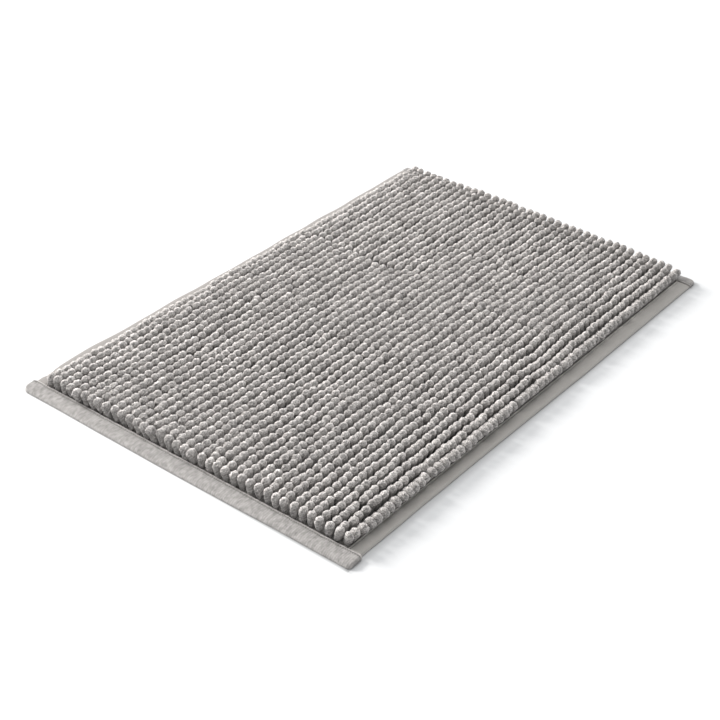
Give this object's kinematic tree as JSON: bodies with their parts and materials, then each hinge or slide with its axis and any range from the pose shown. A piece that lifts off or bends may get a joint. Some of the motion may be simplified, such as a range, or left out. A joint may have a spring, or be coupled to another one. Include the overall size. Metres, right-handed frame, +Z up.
{
  "type": "bath mat",
  "caption": "Rectangular bath mat with deep rows of soft chenille pile, folded cloth hems, ribbed end bindings and an anti-slip underside.",
  "frame": {"origin": "bottom centre of the mat, on the floor", "axes": "+X along the mat's length and the pile rows, towards the back end; +Y across the mat, towards the left long side; +Z up from the floor"},
  "size_m": [0.8, 0.5, 0.023],
  "materials": {
    "pile_yarn": "light warm grey microfibre chenille, velvety and matt",
    "ground_cloth": "grey plain-woven cloth, matt",
    "hem_cloth": "smooth taupe-grey woven polyester, matt",
    "binding_tape": "light grey ribbed tape, matt",
    "seam_thread": "light grey sewing thread, soft sheen",
    "backing_rubber": "pale grey latex, matt, slightly tacky"
  },
  "bodies": {
    "root": {"pile_row_01": "pile_yarn", "pile_row_02": "pile_yarn", "pile_row_03": "pile_yarn", "pile_row_04": "pile_yarn", "pile_row_05": "pile_yarn", "pile_row_06": "pile_yarn", "pile_row_07": "pile_yarn", "pile_row_08": "pile_yarn", "pile_row_09": "pile_yarn", "pile_row_10": "pile_yarn", "pile_row_11": "pile_yarn", "pile_row_12": "pile_yarn", "pile_row_13": "pile_yarn", "pile_row_14": "pile_yarn", "pile_row_15": "pile_yarn", "pile_row_16": "pile_yarn", "pile_row_17": "pile_yarn", "pile_row_18": "pile_yarn", "pile_row_19": "pile_yarn", "pile_row_20": "pile_yarn", "pile_row_21": "pile_yarn", "pile_row_22": "pile_yarn", "pile_row_23": "pile_yarn", "pile_row_24": "pile_yarn", "pile_row_25": "pile_yarn", "pile_row_26": "pile_yarn", "pile_row_27": "pile_yarn", "pile_row_28": "pile_yarn", "pile_row_29": "pile_yarn", "pile_row_30": "pile_yarn", "pile_row_31": "pile_yarn", "pile_row_32": "pile_yarn", "pile_row_33": "pile_yarn", "pile_row_34": "pile_yarn", "pile_row_35": "pile_yarn", "pile_row_36": "pile_yarn", "pile_row_37": "pile_yarn", "pile_row_38": "pile_yarn", "ground_cloth": "ground_cloth", "anti_slip_backing": "backing_rubber", "long_hem_left": "hem_cloth", "long_hem_right": "hem_cloth", "end_binding_front": "binding_tape", "end_binding_back": "binding_tape", "seam_thread_front": "seam_thread", "seam_thread_back": "seam_thread", "seam_thread_left": "seam_thread", "seam_thread_right": "seam_thread"}
  },
  "joints": []
}
